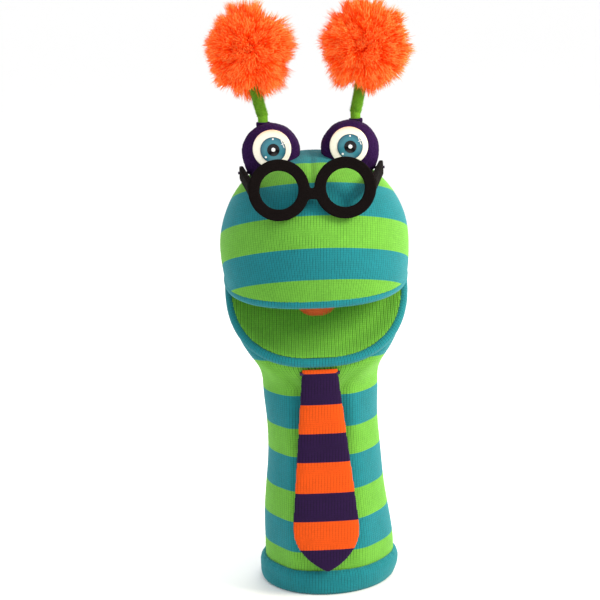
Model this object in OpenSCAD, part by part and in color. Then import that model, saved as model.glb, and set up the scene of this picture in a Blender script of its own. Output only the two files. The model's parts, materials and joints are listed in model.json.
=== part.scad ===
// Knitted sock puppet: a striped sleeve with a hinged mouth, eye pods, round glasses,
// two pom-pom antennae, a tongue and a hanging tie. Millimetres, +Z up, the face looks along -Y.
// The origin is the centre of the sleeve's hem, on the surface that the puppet stands on.

/* [Sleeve] */
// Inner radius of the arm opening at the hem
arm_r = 41; // [39:0.5:42]
// Inner radius of the sleeve at its narrowest
wrist_r = 35.7; // [34:0.1:37]
// Height of the hem band
hem_h = 16.5; // [14:0.5:24]
// Height at which the straight sleeve meets the neck flare
sleeve_h = 140; // [134:1:142]
// Thickness of the knitted fabric
knit_t = 2; // [1.5:0.1:2.2]

/* [Mouth] */
// Height of the mouth crease above the hem
crease_z = 211; // [210:1:213]
// Tilt of the upper palate below the horizontal, in degrees
upper_tilt = 5.5; // [4:0.5:7]
// Tilt of the lower palate below the horizontal, in degrees
lower_tilt = 46; // [45:0.5:48]
// Half width of the mouth boards
board_a = 57; // [54:0.5:58]
// Length of the upper mouth board from the crease to the lip
board_l = 66; // [63:0.5:67]
// Length of the lower mouth board from the crease to the lip
jaw_l = 63; // [61:0.5:65]
// Width of the lip binding
lip_w = 3.5; // [2.5:0.1:4]

/* [Head] */
// Half width of the head
head_a = 62.5; // [61:0.5:64]
// Thickness of the foam liner
foam_t = 7; // [5:0.5:8]

/* [Eyes] */
// Distance of each eye pod from the middle
pod_x = 26; // [25:0.5:27]
// Radius of the eye pods
pod_r = 19; // [18:0.1:19.3]
// Radius of the eye discs
eye_r = 12.5; // [11:0.1:13]

/* [Glasses] */
// Distance of each lens centre from the middle
lens_x = 21.1; // [20.7:0.1:21.6]
// Outer radius of the rims
rim_r = 19.6; // [19.4:0.1:20.2]
// Radius of the lens openings
lens_r = 12.3; // [12:0.1:13.5]

/* [Antennae] */
// Radius of the stems
stem_r = 3.6; // [3:0.1:3.8]
// Radius of the pom-poms
pom_r = 30; // [26:0.5:31]

/* [Tie] */
// Half width of the tie at its top
tie_top_a = 11.5; // [10:0.5:13]
// Half width of the tie at its widest
tie_a = 22; // [18:0.5:24]
// Thickness of the tie
tie_t = 3.2; // [2.8:0.1:3.4]

/* [Hidden] */

$fn = 64;

// Colours
teal = [0.10, 0.55, 0.62];
lime = [0.42, 0.80, 0.22];
purple = [0.22, 0.10, 0.42];
orange = [1.00, 0.42, 0.08];
black = [0.07, 0.06, 0.06];

// Sleeve profile
flare_step = 1.3;                      // the neck flare starts this much wider than the wrist
flare_r = wrist_r + knit_t + flare_step;
narrow_z = 112;                        // height of the narrowest part
bore_h = 22;                           // length of the cylindrical arm opening
hem_t = 3.5;                           // thickness of the folded hem outside the sleeve
hem_r = arm_r + knit_t + hem_t;

// Mouth layers, as heights above the plane through the crease
gap_h = 1.0;                           // from that plane to the palate
palate_t = 1.4;
board_t = 2.2;
lip_low = 0.3;
lip_h = 6.5;
plate_start = 2;                       // the plates stay clear of the crease tape
mouth_n = 2.5;                         // exponent of the mouth's outline

// Head: an ellipsoid above its widest height and fuller cheeks below it
head_y = -14;
head_z = 238;
head_b = 58;                           // half depth
head_c = 61;                           // height above the widest section
cheek_z = 27;                          // depth of the cheeks below the widest section
head_ball_r = head_c + 0.1;            // the ball that the eye pods sit on
cheek_in = 0.048;                      // how far the sides draw in at the foot of the cheeks
front_in = 0.018;
nape_in = 0.035;
squareness = 0.4;                      // the outline's extra exponent low on the cheeks
square_rise = 7;                       // starts this far above the widest section
square_span = 34;
nape_slope = 0.3;                      // the lower edge drops by this much per millimetre behind
head_seam = 0.05;                      // clearance between the head and the upper lip
last_ring = 86;                        // degrees round the dome at which the closing point takes over

// Eye pods
pod_y = -20;                           // middle of the pod's thickness
pod_z = 300;
pod_h = 24;
pod_round = 9;
fleece_t = 1.6;
eye_z = 303.6;
eye_x = 25;
eye_t = 1.6;
post_r = 2;
washer_r = 7;
washer_y = -27;                        // back face of the washer on the eye's post
washer_t = 1.5;
print_t = 0.3;                         // thickness of the printed iris and of the pupil on it

// Glasses
glass_z = 281;
glass_y = -63.2;                       // back face of the rims at the lens centres
glass_tilt = 8;
glass_t = 4;
hinge_y = -20;
hinge_z = 287;
temple_x = 44.8;                       // inner face of the temple at its stitched end
temple_t = 2.5;
stitch_r = 0.9;
hole_gap = 0.1;                        // a hole is this much wider than the thread in it

// Antennae
root_x = 30.5;
root_y = -14;
root_z = 323.2;
pom_x = 38.5;
pom_y = -8;
pom_z = 366;
wire_r = 1;
core_r = 8;
collar_r = 4.6;
collar_t = 3.2;
root_gap = 0.3;                        // clearance round the stem's ball foot

// Tie
tie_y = -43.3;
tie_pin_z = 154.5;
tie_top_z = 157;
tie_wide_z = 50;
tie_tip_z = 19;
tie_lean = 3.3;                        // degrees from upright, the tip hangs outward
shoulder_n = 2.3;                      // exponents of the rounded shoulders
shoulder_p = 0.85;
tack_r = 0.8;

function sgn(v) = v < 0 ? -1 : 1;
function power(v, p) = sgn(v) * pow(abs(v), p);
function clamp(v) = max(0, min(1, v));

// ---- sleeve ----
// Outer radius of the sleeve at height z: it narrows from the hem to the wrist and widens to the neck
function sleeve_r(z) =
    let(base = arm_r + knit_t, low = wrist_r + knit_t)
    z <= bore_h ? base
    : z <= narrow_z ? low + (base - low) * (1 + cos(180 * (z - bore_h) / (narrow_z - bore_h))) / 2
    : low + (flare_r - low) * (1 - cos(180 * (z - narrow_z) / (sleeve_h - narrow_z))) / 2;

sleeve_steps = 16;
sleeve_heights = [
    0,
    for (i = [0 : sleeve_steps]) bore_h + (sleeve_h - bore_h) * i / sleeve_steps
];

module sleeve() {
    outer = [for (z = sleeve_heights) [sleeve_r(z), z]];
    inner = [for (i = [len(outer) - 1 : -1 : 0]) [outer[i][0] - knit_t, outer[i][1]]];
    color(lime)
        rotate_extrude()
            polygon(concat(outer, inner));
}

module hem_band() {
    edge = 3;                          // the folded edge is rounded at its top
    r0 = arm_r + knit_t;
    color(teal)
        rotate_extrude()
            union() {
                translate([r0, 0])
                    square([hem_r - r0, hem_h - edge]);
                intersection() {
                    translate([r0, hem_h - edge])
                        square([hem_r - r0, edge]);
                    translate([hem_r - edge, hem_h - edge])
                        circle(edge);
                }
                translate([r0, hem_h - edge])
                    square([hem_r - r0 - edge, edge]);
            }
}

// ---- shells drawn as two surfaces of rings ----
// rings: a list of closed rings of equal length, bottom to top, going anticlockwise from above
function flat(rings) = [for (ring = rings) for (p = ring) p];
function band_faces(rows, n, first, flip) = [
    for (j = [0 : rows - 2]) for (i = [0 : n - 1])
        let(a = first + j * n + i, b = first + j * n + (i + 1) % n, c = b + n, d = a + n)
        for (tri = flip ? [[a, b, c], [a, c, d]] : [[a, c, b], [a, d, c]]) tri
];
function rim_faces(n, a0, b0, flip) = [
    for (i = [0 : n - 1])
        let(j = (i + 1) % n)
        for (tri = flip ? [[a0 + i, b0 + i, b0 + j], [a0 + i, b0 + j, a0 + j]]
                        : [[a0 + i, b0 + j, b0 + i], [a0 + i, a0 + j, b0 + j]]) tri
];

// A tube: open at both ends, with a rim joining the outer and inner surfaces
module tube_shell(outer, inner) {
    n = len(outer[0]);
    rows = len(outer);
    second = rows * n;
    polyhedron(
        points = concat(flat(outer), flat(inner)),
        faces = concat(
            band_faces(rows, n, 0, false),
            band_faces(rows, n, second, true),
            rim_faces(n, 0, second, false),
            rim_faces(n, (rows - 1) * n, second + (rows - 1) * n, true)
        ),
        convexity = 6
    );
}

// A dome: as a tube, but each surface is closed by a point on top
module dome_shell(outer, inner, outer_top, inner_top) {
    n = len(outer[0]);
    rows = len(outer);
    second = rows * n;
    peak = 2 * rows * n;
    polyhedron(
        points = concat(flat(outer), flat(inner), [outer_top, inner_top]),
        faces = concat(
            band_faces(rows, n, 0, false),
            band_faces(rows, n, second, true),
            rim_faces(n, 0, second, false),
            [for (i = [0 : n - 1]) [peak, (rows - 1) * n + (i + 1) % n, (rows - 1) * n + i]],
            [for (i = [0 : n - 1])
                [peak + 1, second + (rows - 1) * n + i, second + (rows - 1) * n + (i + 1) % n]]
        ),
        convexity = 6
    );
}

// ---- neck flare: from the round sleeve to the slanting rim under the lower jaw ----
ring_n = 40;
flare_rows = 7;
rim_drop = 7.6;                        // below the plane of the lower palate
rim_a = board_a + 1.5;
rim_l = jaw_l + 3;
rim_back = 35;
rim_slope = 0.5;

function flare_rim(t, inset) =
    let(c = cos(t), s = sin(t), a = rim_a - inset, y0 = rim_drop * sin(lower_tilt),
        z0 = crease_z - rim_drop * cos(lower_tilt))
    s <= 0
        ? let(f = (rim_l - inset) * pow(abs(s), 2 / mouth_n))
          [a * power(c, 2 / mouth_n), y0 - f * cos(lower_tilt), z0 - f * sin(lower_tilt)]
        : let(y = (rim_back - inset) * s)
          [a * c, y0 + y, z0 - rim_slope * (rim_back * s)];
function flare_ring(u, inset) = [
    for (i = [0 : ring_n - 1])
        let(t = 360 * i / ring_n, r = flare_r - inset, rim = flare_rim(t, inset),
            foot = [r * cos(t), r * sin(t), sleeve_h], w = u * u * (3 - 2 * u))
        [foot[0] + (rim[0] - foot[0]) * w, foot[1] + (rim[1] - foot[1]) * w,
         foot[2] + (rim[2] - foot[2]) * u]
];

module neck_flare() {
    color(lime)
        tube_shell(
            [for (j = [0 : flare_rows - 1]) flare_ring(j / (flare_rows - 1), 0)],
            [for (j = [0 : flare_rows - 1]) flare_ring(j / (flare_rows - 1), knit_t)]
        );
}

// ---- mouth ----
module at_upper() { translate([0, 0, crease_z]) rotate([upper_tilt, 0, 0]) children(); }
module at_lower() { translate([0, 0, crease_z]) rotate([lower_tilt, 0, 0]) children(); }

// The outline of a mouth plate, from the crease to the lip
mouth_steps = 28;
module mouth_outline(a, l, start) {
    intersection() {
        polygon([for (i = [0 : mouth_steps])
            let(t = 180 * i / mouth_steps)
            [a * power(cos(t), 2 / mouth_n), -l * pow(sin(t), 2 / mouth_n)]]);
        translate([-2 * a, -2 * l])
            square([4 * a, 2 * l - start]);
    }
}

module mouth_layer(l, low, high) {
    translate([0, 0, low])
        linear_extrude(high - low)
            mouth_outline(board_a, l, plate_start);
}

module lip_ring(l, low, high) {
    translate([0, 0, low])
        linear_extrude(high - low)
            difference() {
                mouth_outline(board_a + lip_w, l + lip_w, plate_start);
                mouth_outline(board_a, l, -1);
            }
}

// The tape runs along the crease, with a tab at each end sewn to the neck flare's rim
module crease_tape() {
    tape_r = 1.2;
    foot_y = rim_drop * sin(lower_tilt);
    foot_z = crease_z - rim_drop * cos(lower_tilt) - 1;
    color(lime)
        union() {
            translate([-rim_a, 0, crease_z])
                rotate([0, 90, 0])
                    cylinder(r = tape_r, h = 2 * rim_a, $fn = 32);
            for (side = [-1, 1])
                hull()
                    for (end = [[0, crease_z], [foot_y, foot_z]])
                        translate([side * (rim_a - knit_t / 2), end[0], end[1]])
                            rotate([0, 90, 0])
                                cylinder(r = tape_r, h = knit_t, center = true, $fn = 32);
        }
}

module upper_palate() { color(lime) at_upper() mouth_layer(board_l, gap_h, gap_h + palate_t); }
module upper_board() {
    color("white")
        at_upper()
            mouth_layer(board_l, gap_h + palate_t, gap_h + palate_t + board_t);
}
module upper_lip() { color(teal) at_upper() lip_ring(board_l, lip_low, lip_h); }

module lower_palate() { color(lime) at_lower() mouth_layer(jaw_l, -gap_h - palate_t, -gap_h); }
module lower_board() {
    color("white")
        at_lower()
            mouth_layer(jaw_l, -gap_h - palate_t - board_t, -gap_h - palate_t);
}
module jaw_cover() {
    color(teal)
        at_lower()
            mouth_layer(jaw_l, -lip_h + 0.2, -gap_h - palate_t - board_t);
}
module lower_lip() { color(teal) at_lower() lip_ring(jaw_l, -lip_h, -lip_low); }

module tongue() {
    tongue_a = 17;
    tongue_l = 30;
    tongue_start = 5;
    tongue_t = 1.4;
    color(orange)
        at_lower()
            translate([0, 0, -gap_h])
                linear_extrude(tongue_t)
                    mouth_outline(tongue_a, tongue_l, tongue_start);
}

// ---- head ----
head_rows = 13;
head_top = head_z + head_c;
function section_k(z, drop) =
    z >= head_z ? sqrt(max(0, 1 - pow((z - head_z) / head_c, 2)))
                : 1 - drop * pow((head_z - z) / cheek_z, 2);
function head_point(t, z, inset) =
    let(c = cos(t), s = sin(t), n = 2 + squareness * clamp((head_z + square_rise - z) / square_span),
        zi = z >= head_z ? head_z + (z - head_z) * head_c / (head_c - inset) : z)
    [(head_a * section_k(zi, cheek_in) - inset * section_k(zi, 0)) * power(c, 2 / n),
     head_y + (head_b * section_k(zi, s > 0 ? nape_in : front_in) - inset * section_k(zi, 0))
            * power(s, 2 / n),
     z];
// The head's lower edge follows the upper lip in front and drops towards the nape behind
function head_rim_z(y) =
    crease_z + lip_h / cos(upper_tilt) + head_seam
    + (y < 0 ? y * tan(upper_tilt) : -nape_slope * y);
function head_ring(j, inset) = [
    for (i = [0 : ring_n - 1])
        let(t = 360 * i / ring_n, z0 = head_rim_z(head_point(t, crease_z, inset)[1]),
            z1 = head_top - inset, z = z0 + (z1 - z0) * sin(last_ring * j / (head_rows - 1)))
        head_point(t, z, inset)
];
module head_layer(from, to) {
    dome_shell(
        [for (j = [0 : head_rows - 1]) head_ring(j, from)],
        [for (j = [0 : head_rows - 1]) head_ring(j, to)],
        [0, head_y, head_top - from],
        [0, head_y, head_top - to]
    );
}

module head_cover() { color(lime) head_layer(0, knit_t); }
module head_foam() { color("lightyellow") head_layer(knit_t, knit_t + foam_t); }

// ---- eye pods ----
module pod_body(r, h, round) {
    rotate([90, 0, 0])
        translate([0, 0, -h / 2])
            rotate_extrude()
                union() {
                    square([r - round, h]);
                    translate([0, round])
                        square([r, h - 2 * round]);
                    translate([r - round, round])
                        circle(round);
                    translate([r - round, h - round])
                        circle(round);
                }
}
module clear_of_head() {
    difference() {
        children();
        translate([0, head_y, head_z])
            sphere(head_ball_r, $fn = 96);
    }
}
// A rod along the eye's axis, from y0 back to y1
module eye_rod(side, r, y0, y1) {
    translate([side * eye_x, y1, eye_z])
        rotate([90, 0, 0])
            cylinder(r = r, h = y1 - y0, $fn = 40);
}

module eye_pod(side) {
    color(purple)
        clear_of_head()
            difference() {
                translate([side * pod_x, pod_y, pod_z])
                    pod_body(pod_r, pod_h, pod_round);
                translate([side * pod_x, pod_y, pod_z])
                    pod_body(pod_r - fleece_t, pod_h - 2 * fleece_t, pod_round - fleece_t);
                eye_rod(side, post_r, pod_y - pod_h / 2 - 1, pod_y);
            }
}

module eye_foam(side) {
    color("lightyellow")
        clear_of_head()
            difference() {
                translate([side * pod_x, pod_y, pod_z])
                    pod_body(pod_r - fleece_t, pod_h - 2 * fleece_t, pod_round - fleece_t);
                eye_rod(side, washer_r, pod_y - pod_h / 2 - 1, washer_y + washer_t);
            }
}

module eye_washer(side) {
    color("white")
        difference() {
            eye_rod(side, washer_r, washer_y - washer_t, washer_y);
            eye_rod(side, post_r, washer_y - 2, washer_y + 1);
        }
}

face_y = pod_y - pod_h / 2;
module eye_disc(side) {
    color("white")
        union() {
            eye_rod(side, eye_r, face_y - eye_t, face_y);
            eye_rod(side, post_r, face_y - 0.5, washer_y + 1);
        }
}
module iris(side) {
    iris_r = 8.3;
    color(teal)
        eye_rod(side, iris_r, face_y - eye_t - print_t, face_y - eye_t);
}
module pupil(side) {
    pupil_r = 4.1;
    below = 1;                         // the pupil sits a little low in the iris
    color(black)
        translate([0, 0, -below])
            eye_rod(side, pupil_r, face_y - eye_t - 2 * print_t, face_y - eye_t - print_t);
}

// ---- glasses ----
module glasses_plate() {
    translate([0, glass_y, glass_z])
        rotate([90 - glass_tilt, 0, 0])
            linear_extrude(glass_t)
                children();
}
module glasses_front() {
    bridge_w = 12;
    bridge_h = 7;
    bridge_z = -3;
    color(black)
        glasses_plate()
            difference() {
                union() {
                    for (side = [-1, 1])
                        translate([side * lens_x, 0])
                            circle(rim_r, $fn = 96);
                    translate([-bridge_w / 2, bridge_z - bridge_h / 2])
                        square([bridge_w, bridge_h]);
                }
                for (side = [-1, 1])
                    translate([side * lens_x, 0])
                        circle(lens_r, $fn = 96);
            }
}

// The temple is a flat strip from behind the rim's edge to the stitch on the eye pod's side
module temple(side) {
    front_y = -62.6;
    front_z = 282;
    front_x = 37.9;
    front_r = 4;
    end_r = 4.5;
    wide = 160;                        // wider than the glasses
    color(black)
        difference() {
            hull() {
                translate([side * (temple_x + temple_t / 2), hinge_y, hinge_z])
                    rotate([0, 90, 0])
                        cylinder(r = end_r, h = temple_t, center = true, $fn = 32);
                translate([side * (front_x + temple_t / 2), front_y, front_z])
                    rotate([0, 90, 0])
                        cylinder(r = front_r, h = temple_t, center = true, $fn = 32);
                translate([side * (front_x + temple_t / 2), front_y + 6, front_z])
                    rotate([0, 90, 0])
                        cylinder(r = end_r, h = temple_t, center = true, $fn = 32);
            }
            translate([0, hinge_y, hinge_z])
                rotate([0, 90, 0])
                    cylinder(r = stitch_r + hole_gap, h = wide, center = true, $fn = 32);
            // clear of the back of the rims
            translate([0, glass_y, glass_z])
                rotate([90 - glass_tilt, 0, 0])
                    translate([-wide / 2, -wide / 4, 0])
                        cube([wide, wide / 2, wide / 8]);
        }
}

module temple_stitches() {
    from = 38.8;
    to = temple_x + temple_t + 1;
    color(black)
        for (side = [-1, 1])
            translate([side * (from + to) / 2, hinge_y, hinge_z])
                rotate([0, 90, 0])
                    cylinder(r = stitch_r, h = to - from, center = true, $fn = 32);
}

// ---- antennae ----
function stem_dir(side) = [side * (pom_x - root_x), pom_y - root_y, pom_z - root_z];
stem_long = norm(stem_dir(1));
module along_stem(side) {
    d = stem_dir(side);
    translate([side * root_x, root_y, root_z])
        rotate([0, acos(d[2] / norm(d)), atan2(d[1], d[0])])
            children();
}
stem_end = stem_long - core_r + 1;     // the stem enters the pom-pom's core by 1 mm

module stem_collar(side) {
    color(purple)
        difference() {
            translate([side * root_x, root_y, root_z - stem_r - root_gap - collar_t])
                cylinder(r = collar_r, h = collar_t, $fn = 40);
            translate([side * pod_x, pod_y, pod_z])
                pod_body(pod_r, pod_h, pod_round);
        }
}
module stem_root(side) {
    color(lime)
        translate([side * root_x, root_y, root_z])
            sphere(stem_r, $fn = 40);
}
module stem_cover(side) {
    color(lime)
        along_stem(side)
            difference() {
                cylinder(r = stem_r, h = stem_end, $fn = 40);
                cylinder(r = wire_r, h = 3 * stem_end, center = true, $fn = 24);
                sphere(stem_r + root_gap, $fn = 40);
            }
}
module stem_wire(side) {
    color("silver")
        along_stem(side)
            translate([0, 0, stem_r + 1])
                cylinder(r = wire_r, h = stem_end - stem_r - 1, $fn = 24);
}
module pom_core(side) {
    color(orange)
        difference() {
            translate([side * pom_x, pom_y, pom_z])
                sphere(core_r, $fn = 48);
            along_stem(side)
                cylinder(r = stem_r, h = stem_end, $fn = 40);
        }
}
module pom_fur(side) {
    color(orange)
        difference() {
            translate([side * pom_x, pom_y, pom_z])
                sphere(pom_r, $fn = 64);
            translate([side * pom_x, pom_y, pom_z])
                sphere(core_r, $fn = 48);
            along_stem(side)
                cylinder(r = stem_r, h = stem_long, $fn = 40);
        }
}

// ---- tie ----
tie_steps = 10;
// Half of the tie's outline: straight sides, then rounded shoulders to the point
tie_side = concat(
    [[tie_top_a, tie_top_z - tie_pin_z], [tie_a, tie_wide_z - tie_pin_z]],
    [for (i = [1 : tie_steps])
        let(u = i / tie_steps)
        [tie_a * pow(1 - pow(u, shoulder_n), shoulder_p),
         (tie_wide_z - tie_pin_z) - (tie_wide_z - tie_tip_z) * u]]
);
module tie_blade() {
    outline = concat(tie_side, [for (i = [len(tie_side) - 2 : -1 : 0])
        [-tie_side[i][0], tie_side[i][1]]]);
    color(orange)
        difference() {
            translate([0, tie_y, tie_pin_z])
                rotate([90 - tie_lean, 0, 0])
                    translate([0, 0, -tie_t / 2])
                        linear_extrude(tie_t)
                            polygon(outline);
            translate([0, tie_y, tie_pin_z])
                rotate([0, 90, 0])
                    cylinder(r = tack_r + hole_gap, h = 3 * tie_a, center = true, $fn = 32);
        }
}

// A bar of thread through the tie's top, with an end sewn into the neck at each side
module tie_stitches() {
    tack_x = 13.4;
    inward = 4.7;
    color(purple)
        union() {
            translate([0, tie_y, tie_pin_z])
                rotate([0, 90, 0])
                    cylinder(r = tack_r, h = 2 * tack_x, center = true, $fn = 32);
            for (side = [-1, 1])
                translate([side * (tack_x - tack_r), tie_y + inward, tie_pin_z])
                    rotate([90, 0, 0])
                        cylinder(r = tack_r, h = inward, $fn = 32);
        }
}

sleeve();
hem_band();
neck_flare();
crease_tape();
tie_stitches();
head_cover();
head_foam();
upper_board();
upper_palate();
upper_lip();
eye_pod(-1);  // eye_pod_left
eye_pod(1);  // eye_pod_right
eye_foam(-1);  // eye_foam_left
eye_foam(1);  // eye_foam_right
eye_washer(-1);  // eye_washer_left
eye_washer(1);  // eye_washer_right
eye_disc(-1);  // eye_disc_left
eye_disc(1);  // eye_disc_right
iris(-1);  // iris_left
iris(1);  // iris_right
pupil(-1);  // pupil_left
pupil(1);  // pupil_right
stem_collar(-1);  // stem_collar_left
stem_collar(1);  // stem_collar_right
temple_stitches();
jaw_cover();
lower_board();
lower_palate();
lower_lip();
tongue();
glasses_front();
temple(-1);  // temple_left
temple(1);  // temple_right
stem_root(-1);  // stem_root_left
stem_cover(-1);  // stem_cover_left
stem_wire(-1);  // stem_wire_left
pom_core(-1);  // pom_core_left
pom_fur(-1);  // pom_fur_left
stem_root(1);  // stem_root_right
stem_cover(1);  // stem_cover_right
stem_wire(1);  // stem_wire_right
pom_core(1);  // pom_core_right
pom_fur(1);  // pom_fur_right
tie_blade();
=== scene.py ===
"""Knitted sock puppet: the looks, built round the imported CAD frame.

Lengths are in millimetres until a mesh is made.
"""
import json
import math

import bpy
import numpy as np
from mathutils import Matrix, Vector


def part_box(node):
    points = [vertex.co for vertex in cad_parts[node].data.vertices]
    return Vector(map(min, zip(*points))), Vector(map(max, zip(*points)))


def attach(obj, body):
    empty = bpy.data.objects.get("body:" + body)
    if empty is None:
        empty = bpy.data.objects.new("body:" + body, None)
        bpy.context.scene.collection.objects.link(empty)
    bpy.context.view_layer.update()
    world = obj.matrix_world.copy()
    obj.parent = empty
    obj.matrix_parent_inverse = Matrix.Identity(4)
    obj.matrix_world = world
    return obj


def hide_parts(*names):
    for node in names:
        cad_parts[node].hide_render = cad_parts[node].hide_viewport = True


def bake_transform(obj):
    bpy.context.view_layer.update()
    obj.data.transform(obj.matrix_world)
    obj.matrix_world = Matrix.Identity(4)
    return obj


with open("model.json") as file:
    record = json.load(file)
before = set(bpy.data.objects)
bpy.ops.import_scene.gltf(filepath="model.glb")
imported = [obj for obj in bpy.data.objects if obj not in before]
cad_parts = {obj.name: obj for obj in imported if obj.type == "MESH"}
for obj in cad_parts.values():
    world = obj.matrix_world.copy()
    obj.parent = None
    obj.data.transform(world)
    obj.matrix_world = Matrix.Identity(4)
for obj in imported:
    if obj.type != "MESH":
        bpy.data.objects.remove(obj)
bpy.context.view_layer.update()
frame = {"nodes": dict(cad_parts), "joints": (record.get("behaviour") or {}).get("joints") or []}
MM = 0.001
SIDES = (("left", -1), ("right", 1))
rng = np.random.default_rng(7)


# ---- sizes, from the frame ----
def corners(node):
    """Lowest and highest corner of a CAD node, in millimetres."""
    low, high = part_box(node)
    return np.array(low) / MM, np.array(high) / MM


def joint_place(name):
    """A hinge's pivot in millimetres."""
    joint = next(j for j in frame["joints"] if j["name"] == name)
    return np.array(joint["pos_m"]) / MM


def outer_profile(node):
    """Heights and outer radii of a turned CAD node, bottom to top."""
    points = np.array([v.co for v in frame["nodes"][node].data.vertices]) / MM
    heights = np.unique(np.round(points[:, 2], 2))
    radii = [np.hypot(*points[np.abs(points[:, 2] - z) < 0.02][:, :2].T).max() for z in heights]
    return heights, np.array(radii)


SLEEVE_Z, SLEEVE_R = outer_profile("sleeve")
SLEEVE_TOP = SLEEVE_Z[-1]
NECK_R = SLEEVE_R[-1]
HEM_R = corners("hem_band")[1][0]
HEM_H = corners("hem_band")[1][2]
CREASE = joint_place("head_tilt")
HEAD_LOW, HEAD_HIGH = corners("head_cover")
HEAD_A = HEAD_HIGH[0]
HEAD_B = (HEAD_HIGH[1] - HEAD_LOW[1]) / 2
HEAD_Y = (HEAD_HIGH[1] + HEAD_LOW[1]) / 2
CHEEK = 27.0                            # from the head's widest height down to the crease
HEAD_Z = CREASE[2] + CHEEK
HEAD_C = HEAD_HIGH[2] - HEAD_Z
UPPER_TILT = math.radians(5.5)
LOWER_TILT = math.radians(46)
BOARD_A = corners("lower_board")[1][0]
BOARD_L = 66.0                          # length of the upper mouth board
JAW_L = 63.0                            # length of the lower one
MOUTH_N = 2.5                           # the mouth outline's exponent
LIP_H = 6.5
RIM_DROP = 7.6                          # from the lower palate's plane down to the neck's rim

# ---- knitting ----
WALE = 2.0                              # width of a stitch
COURSE = 1.4                            # height of a stitch
ACROSS = 4                              # mesh columns in a stitch
ALONG = 3                               # mesh rows in a stitch
SLANT = 0.6                             # rise of a stitch's legs, in courses
RELIEF = 0.42                           # how far the legs stand proud
UNEVEN = 0.25                           # share by which stitches differ in relief


def smooth(t):
    t = np.clip(t, 0, 1)
    return t * t * (3 - 2 * t)


def lumps(points, size, seed):
    """Gentle unevenness between -1 and 1, with features of about the given size."""
    total = 0
    draw = np.random.default_rng(seed)
    for _ in range(5):
        wave = draw.normal(size=3)
        wave *= 2 * math.pi / size / np.linalg.norm(wave)
        total = total + np.sin(points @ wave + draw.uniform(0, 6.28))
    return total / 5


def chance(i, j):
    """A fixed number between 0 and 1 for each pair of whole numbers, as if drawn by lot."""
    scrambled = np.sin(12.9898 * i + 78.233 * j) * 43758.5453
    return scrambled - np.floor(scrambled)


def grid_normals(points, closed):
    """Unit normals of a grid of points, rows by columns."""
    if closed:
        across = np.roll(points, -1, axis=1) - np.roll(points, 1, axis=1)
    else:
        across = np.gradient(points, axis=1)
    along = np.gradient(points, axis=0)
    normal = np.cross(across, along)
    return normal / np.maximum(np.linalg.norm(normal, axis=-1, keepdims=True), 1e-9)


def stitch_height(u, v):
    """Relief of stocking stitch, 0 to about 1, at wale u and course v: two slanted legs in each wale."""
    edge = np.abs(2 * (u - np.floor(u)) - 1)
    legs = 1 - 0.9 * (2 * edge - 1) ** 2 + 0.25 * (1 - edge)
    ripple = 0.5 + 0.5 * np.cos(2 * math.pi * (v - SLANT * edge))
    return (legs - 0.1) * (0.48 + 0.52 * ripple)


def make_object(name, points, faces, slots, materials, tone=None):
    """A smooth mesh object from millimetre points and faces of equal length."""
    used = np.zeros(len(points), bool)
    used[faces] = True
    index = np.cumsum(used) - 1
    points, faces = points[used], index[faces]
    mesh = bpy.data.meshes.new(name)
    count, sides = faces.shape
    mesh.vertices.add(len(points))
    mesh.loops.add(count * sides)
    mesh.polygons.add(count)
    mesh.vertices.foreach_set("co", (points * MM).astype(np.float32).ravel())
    mesh.loops.foreach_set("vertex_index", faces.astype(np.int32).ravel())
    mesh.polygons.foreach_set("loop_start", np.arange(0, count * sides, sides, dtype=np.int32))
    mesh.polygons.foreach_set("material_index", np.broadcast_to(slots, count).astype(np.int32))
    mesh.polygons.foreach_set("use_smooth", np.ones(count, bool))
    mesh.update(calc_edges=True)
    mesh.validate()
    if tone is not None:
        attribute = mesh.attributes.new("tone", "FLOAT", "POINT")
        attribute.data.foreach_set("value", tone.ravel()[used].astype(np.float32))
    for material in materials:
        mesh.materials.append(material)
    made = bpy.data.objects.new(name, mesh)
    bpy.context.scene.collection.objects.link(made)
    return made


def grid_faces(rows, columns, closed):
    """Quads of a grid of points, rows by columns."""
    across = columns if closed else columns - 1
    i, j = np.meshgrid(np.arange(rows - 1), np.arange(across), indexing="ij")
    k = (j + 1) % columns
    low, high = i * columns, (i + 1) * columns
    return np.stack([low + j, low + k, high + k, high + j], -1)


def one_colour(course):
    return 0 * course


def knit(name, surface, wales, courses, slot_of, materials, keep=None, closed=False,
         relief=RELIEF, inward=False):
    """A knitted piece. surface(u, v) gives points for wale u and course v; slot_of(course) gives a
    course's colour; keep(points) says which faces stay. wales and courses are (first, last)."""
    columns = (wales[1] - wales[0]) * ACROSS + (0 if closed else 1)
    rows = (courses[1] - courses[0]) * ALONG + 1
    u, v = np.meshgrid(wales[0] + np.arange(columns) / ACROSS, courses[0] + np.arange(rows) / ALONG)
    points = surface(u, v)
    normals = grid_normals(points, closed) * (-1 if inward else 1)
    height = stitch_height(u, v)
    uneven = 1 + UNEVEN * (chance(np.floor(u), np.floor(v)) - 0.5)
    points = points + normals * (relief * height * uneven)[..., None]
    faces = grid_faces(rows, columns, closed)
    middle_u = np.broadcast_to(u[0, :faces.shape[1]] + 0.5 / ACROSS, faces.shape[:2])
    middle_v = np.broadcast_to(v[:-1, :1] + 0.5 / ALONG, faces.shape[:2])
    edge = np.abs(2 * (middle_u - np.floor(middle_u)) - 1)
    slots = slot_of(np.floor(middle_v - SLANT * edge + 0.3))
    flat = points.reshape(-1, 3)
    faces, slots = faces.reshape(-1, 4), np.broadcast_to(slots, faces.shape[:2]).reshape(-1)
    if inward:
        faces = faces[:, ::-1]
    if keep is not None:
        stays = keep(flat[faces].mean(1))
        faces, slots = faces[stays], slots[stays]
    return make_object(name, flat, faces, slots, materials, height * uneven)


def stripe_slots(edges, first):
    """slot(h): the colour index of each height, alternating at the given edges from the first index."""
    return lambda h: (np.searchsorted(edges, h, side="right") + first) % 2


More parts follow.
